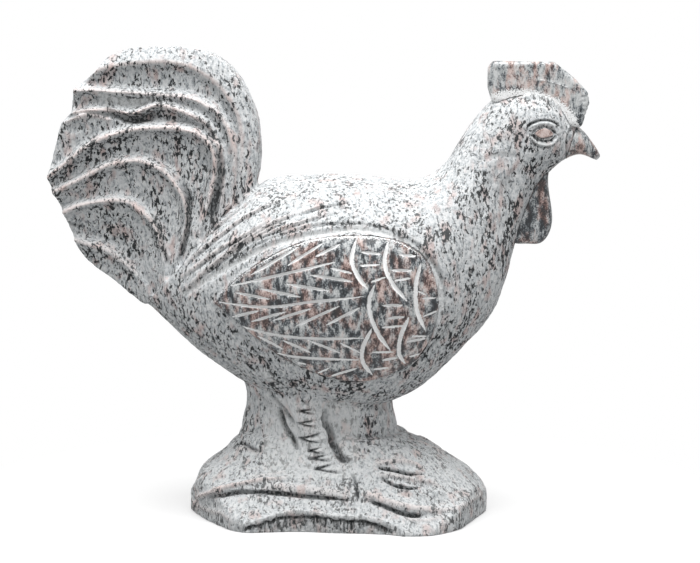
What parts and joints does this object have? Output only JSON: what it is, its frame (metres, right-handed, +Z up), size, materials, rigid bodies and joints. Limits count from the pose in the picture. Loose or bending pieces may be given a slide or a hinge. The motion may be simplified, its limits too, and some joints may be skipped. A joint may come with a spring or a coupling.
{
  "type": "carved granite rooster",
  "caption": "Standing rooster carved from granite on its own rock, with a curled tail fan, engraved polished wings, comb and wattles.",
  "frame": {"origin": "middle of the rock's flat underside, on the ground", "axes": "+X from tail to beak, +Y across the bird to its left, +Z up"},
  "size_m": [0.4607, 0.1744, 0.3957],
  "materials": {
    "bush_hammered_granite": "pale grey granite, bush-hammered and rubbed, with black mica flecks and a little pink feldspar",
    "polished_granite": "the same granite polished, so that it darkens to red-brown and blue-black streaks"
  },
  "bodies": {
    "root": {"rock": "bush_hammered_granite", "pillar": "bush_hammered_granite", "body": "bush_hammered_granite", "comb": "polished_granite", "beak": "polished_granite", "right_wing": "polished_granite", "left_wing": "polished_granite", "right_eye": "polished_granite", "left_eye": "polished_granite", "right_wattle": "polished_granite", "left_wattle": "polished_granite", "right_shank": "bush_hammered_granite", "left_shank": "bush_hammered_granite", "right_foot": "bush_hammered_granite", "left_foot": "bush_hammered_granite", "tail_feather_1": "bush_hammered_granite", "tail_feather_2": "bush_hammered_granite", "tail_feather_3": "bush_hammered_granite", "tail_feather_4": "bush_hammered_granite", "tail_feather_5": "bush_hammered_granite", "tail_feather_6": "bush_hammered_granite", "tail_feather_7": "bush_hammered_granite", "tail_feather_8": "bush_hammered_granite", "tail_feather_9": "bush_hammered_granite"}
  },
  "joints": []
}
